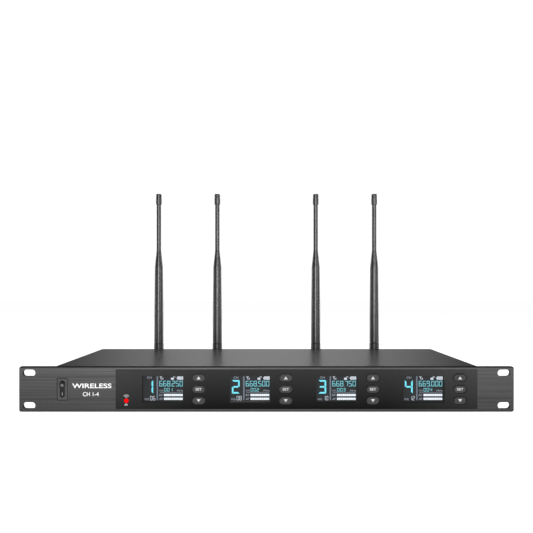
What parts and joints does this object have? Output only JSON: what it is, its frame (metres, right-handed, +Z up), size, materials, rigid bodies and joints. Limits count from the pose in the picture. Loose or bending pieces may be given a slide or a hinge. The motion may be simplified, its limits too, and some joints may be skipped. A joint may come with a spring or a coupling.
{
  "type": "wireless receiver unit",
  "caption": "Rack-mount wireless microphone receiver: slotted front panel with display windows, push buttons and a power rocker, steel case, and hinged whip antennas at the back.",
  "frame": {"origin": "on the surface that the feet stand on, under the middle of the object's outer box", "axes": "+X to the right along the front panel, +Y from the front to the back, +Z up"},
  "size_m": [0.4826, 0.2441, 0.2458],
  "materials": {
    "brushed_panel": "dark anodised, brushed along its width",
    "gloss_black": "high gloss",
    "red_window": "translucent red, gloss",
    "display_glass": "smooth, dark behind",
    "white_plastic": "moulded",
    "circuit_board": "solder mask",
    "black_plastic": "moulded",
    "switch_plastic": "fine texture",
    "painted_steel": "satin powder coat",
    "foot_rubber": "matte",
    "tinplate": "bright",
    "capacitor_sleeve": "shrink sleeve",
    "ribbon_plastic": "ribbed",
    "black_screws": "black zinc",
    "nickel_plate": "satin nickel",
    "contact_metal": "bright",
    "button_plastic": "satin moulded",
    "rocker_plastic": "satin gloss",
    "knuckle_plastic": "fine texture",
    "whip_rubber": "satin moulded"
  },
  "bodies": {
    "root": {"front_panel": "brushed_panel", "display_fascia": "gloss_black", "ir_window": "red_window", "lcd_1": "display_glass", "lcd_2": "display_glass", "lcd_3": "display_glass", "lcd_4": "display_glass", "lcd_backlights": "white_plastic", "front_board": "circuit_board", "tact_switches": "black_plastic", "switch_housing": "switch_plastic", "chassis_tray": "painted_steel", "top_cover": "painted_steel", "rear_panel": "painted_steel", "rubber_feet": "foot_rubber", "main_board": "circuit_board", "rf_modules": "tinplate", "power_capacitors": "capacitor_sleeve", "ribbon_cable": "ribbon_plastic", "pan_head_screws": "black_screws", "xlr_shells": "nickel_plate", "xlr_inserts": "black_plastic", "xlr_pins": "contact_metal", "mix_jack": "black_plastic", "dc_inlet": "black_plastic", "connector_nuts": "nickel_plate", "antenna_jacks": "nickel_plate"},
    "button_up_1": {"button_up_1": "button_plastic"},
    "button_set_1": {"button_set_1": "button_plastic"},
    "button_down_1": {"button_down_1": "button_plastic"},
    "button_up_2": {"button_up_2": "button_plastic"},
    "button_set_2": {"button_set_2": "button_plastic"},
    "button_down_2": {"button_down_2": "button_plastic"},
    "button_up_3": {"button_up_3": "button_plastic"},
    "button_set_3": {"button_set_3": "button_plastic"},
    "button_down_3": {"button_down_3": "button_plastic"},
    "button_up_4": {"button_up_4": "button_plastic"},
    "button_set_4": {"button_set_4": "button_plastic"},
    "button_down_4": {"button_down_4": "button_plastic"},
    "power_rocker": {"power_rocker": "rocker_plastic"},
    "antenna_1_collar": {"antenna_collar_1": "nickel_plate"},
    "antenna_1_plug": {"antenna_plug_1": "knuckle_plastic", "antenna_pin_1": "contact_metal"},
    "antenna_1_whip": {"antenna_whip_1": "whip_rubber", "antenna_tip_1": "whip_rubber"},
    "antenna_2_collar": {"antenna_collar_2": "nickel_plate"},
    "antenna_2_plug": {"antenna_plug_2": "knuckle_plastic", "antenna_pin_2": "contact_metal"},
    "antenna_2_whip": {"antenna_whip_2": "whip_rubber", "antenna_tip_2": "whip_rubber"},
    "antenna_3_collar": {"antenna_collar_3": "nickel_plate"},
    "antenna_3_plug": {"antenna_plug_3": "knuckle_plastic", "antenna_pin_3": "contact_metal"},
    "antenna_3_whip": {"antenna_whip_3": "whip_rubber", "antenna_tip_3": "whip_rubber"},
    "antenna_4_collar": {"antenna_collar_4": "nickel_plate"},
    "antenna_4_plug": {"antenna_plug_4": "knuckle_plastic", "antenna_pin_4": "contact_metal"},
    "antenna_4_whip": {"antenna_whip_4": "whip_rubber", "antenna_tip_4": "whip_rubber"}
  },
  "joints": [
    {"name": "button_up_1_press", "type": "slide", "parent": "root", "child": "button_up_1", "axis": [0, 1, 0], "range_m": [0, 0.0005], "stiffness_N_per_m": 2000},
    {"name": "button_set_1_press", "type": "slide", "parent": "root", "child": "button_set_1", "axis": [0, 1, 0], "range_m": [0, 0.0005], "stiffness_N_per_m": 2000},
    {"name": "button_down_1_press", "type": "slide", "parent": "root", "child": "button_down_1", "axis": [0, 1, 0], "range_m": [0, 0.0005], "stiffness_N_per_m": 2000},
    {"name": "button_up_2_press", "type": "slide", "parent": "root", "child": "button_up_2", "axis": [0, 1, 0], "range_m": [0, 0.0005], "stiffness_N_per_m": 2000},
    {"name": "button_set_2_press", "type": "slide", "parent": "root", "child": "button_set_2", "axis": [0, 1, 0], "range_m": [0, 0.0005], "stiffness_N_per_m": 2000},
    {"name": "button_down_2_press", "type": "slide", "parent": "root", "child": "button_down_2", "axis": [0, 1, 0], "range_m": [0, 0.0005], "stiffness_N_per_m": 2000},
    {"name": "button_up_3_press", "type": "slide", "parent": "root", "child": "button_up_3", "axis": [0, 1, 0], "range_m": [0, 0.0005], "stiffness_N_per_m": 2000},
    {"name": "button_set_3_press", "type": "slide", "parent": "root", "child": "button_set_3", "axis": [0, 1, 0], "range_m": [0, 0.0005], "stiffness_N_per_m": 2000},
    {"name": "button_down_3_press", "type": "slide", "parent": "root", "child": "button_down_3", "axis": [0, 1, 0], "range_m": [0, 0.0005], "stiffness_N_per_m": 2000},
    {"name": "button_up_4_press", "type": "slide", "parent": "root", "child": "button_up_4", "axis": [0, 1, 0], "range_m": [0, 0.0005], "stiffness_N_per_m": 2000},
    {"name": "button_set_4_press", "type": "slide", "parent": "root", "child": "button_set_4", "axis": [0, 1, 0], "range_m": [0, 0.0005], "stiffness_N_per_m": 2000},
    {"name": "button_down_4_press", "type": "slide", "parent": "root", "child": "button_down_4", "axis": [0, 1, 0], "range_m": [0, 0.0005], "stiffness_N_per_m": 2000},
    {"name": "power_rocker_tilt", "type": "hinge", "parent": "root", "child": "power_rocker", "pos_m": [-0.1991, -0.1179, 0.0243], "axis": [-1, 0, 0], "range_deg": [0, 16]},
    {"name": "antenna_1_lock", "type": "hinge", "parent": "root", "child": "antenna_1_collar", "pos_m": [-0.1409, 0.0971, 0.0242], "axis": [0, 1, 0], "range_deg": [0, 90]},
    {"name": "antenna_1_swivel", "type": "hinge", "parent": "root", "child": "antenna_1_plug", "pos_m": [-0.1409, 0.1161, 0.0242], "axis": [0, 1, 0], "range_deg": [-90, 15]},
    {"name": "antenna_1_fold", "type": "hinge", "parent": "antenna_1_plug", "child": "antenna_1_whip", "pos_m": [-0.1409, 0.1161, 0.0242], "axis": [-1, 0, 0], "range_deg": [0, 90]},
    {"name": "antenna_2_lock", "type": "hinge", "parent": "root", "child": "antenna_2_collar", "pos_m": [-0.06435, 0.0971, 0.0242], "axis": [0, 1, 0], "range_deg": [0, 90]},
    {"name": "antenna_2_swivel", "type": "hinge", "parent": "root", "child": "antenna_2_plug", "pos_m": [-0.06435, 0.1161, 0.0242], "axis": [0, 1, 0], "range_deg": [-15, 30]},
    {"name": "antenna_2_fold", "type": "hinge", "parent": "antenna_2_plug", "child": "antenna_2_whip", "pos_m": [-0.06435, 0.1161, 0.0242], "axis": [-1, 0, 0], "range_deg": [0, 90]},
    {"name": "antenna_3_lock", "type": "hinge", "parent": "root", "child": "antenna_3_collar", "pos_m": [0.06435, 0.0971, 0.0242], "axis": [0, 1, 0], "range_deg": [0, 90]},
    {"name": "antenna_3_swivel", "type": "hinge", "parent": "root", "child": "antenna_3_plug", "pos_m": [0.06435, 0.1161, 0.0242], "axis": [0, 1, 0], "range_deg": [-30, 15]},
    {"name": "antenna_3_fold", "type": "hinge", "parent": "antenna_3_plug", "child": "antenna_3_whip", "pos_m": [0.06435, 0.1161, 0.0242], "axis": [-1, 0, 0], "range_deg": [0, 90]},
    {"name": "antenna_4_lock", "type": "hinge", "parent": "root", "child": "antenna_4_collar", "pos_m": [0.1409, 0.0971, 0.0242], "axis": [0, 1, 0], "range_deg": [0, 90]},
    {"name": "antenna_4_swivel", "type": "hinge", "parent": "root", "child": "antenna_4_plug", "pos_m": [0.1409, 0.1161, 0.0242], "axis": [0, 1, 0], "range_deg": [-15, 90]},
    {"name": "antenna_4_fold", "type": "hinge", "parent": "antenna_4_plug", "child": "antenna_4_whip", "pos_m": [0.1409, 0.1161, 0.0242], "axis": [-1, 0, 0], "range_deg": [0, 90]}
  ]
}
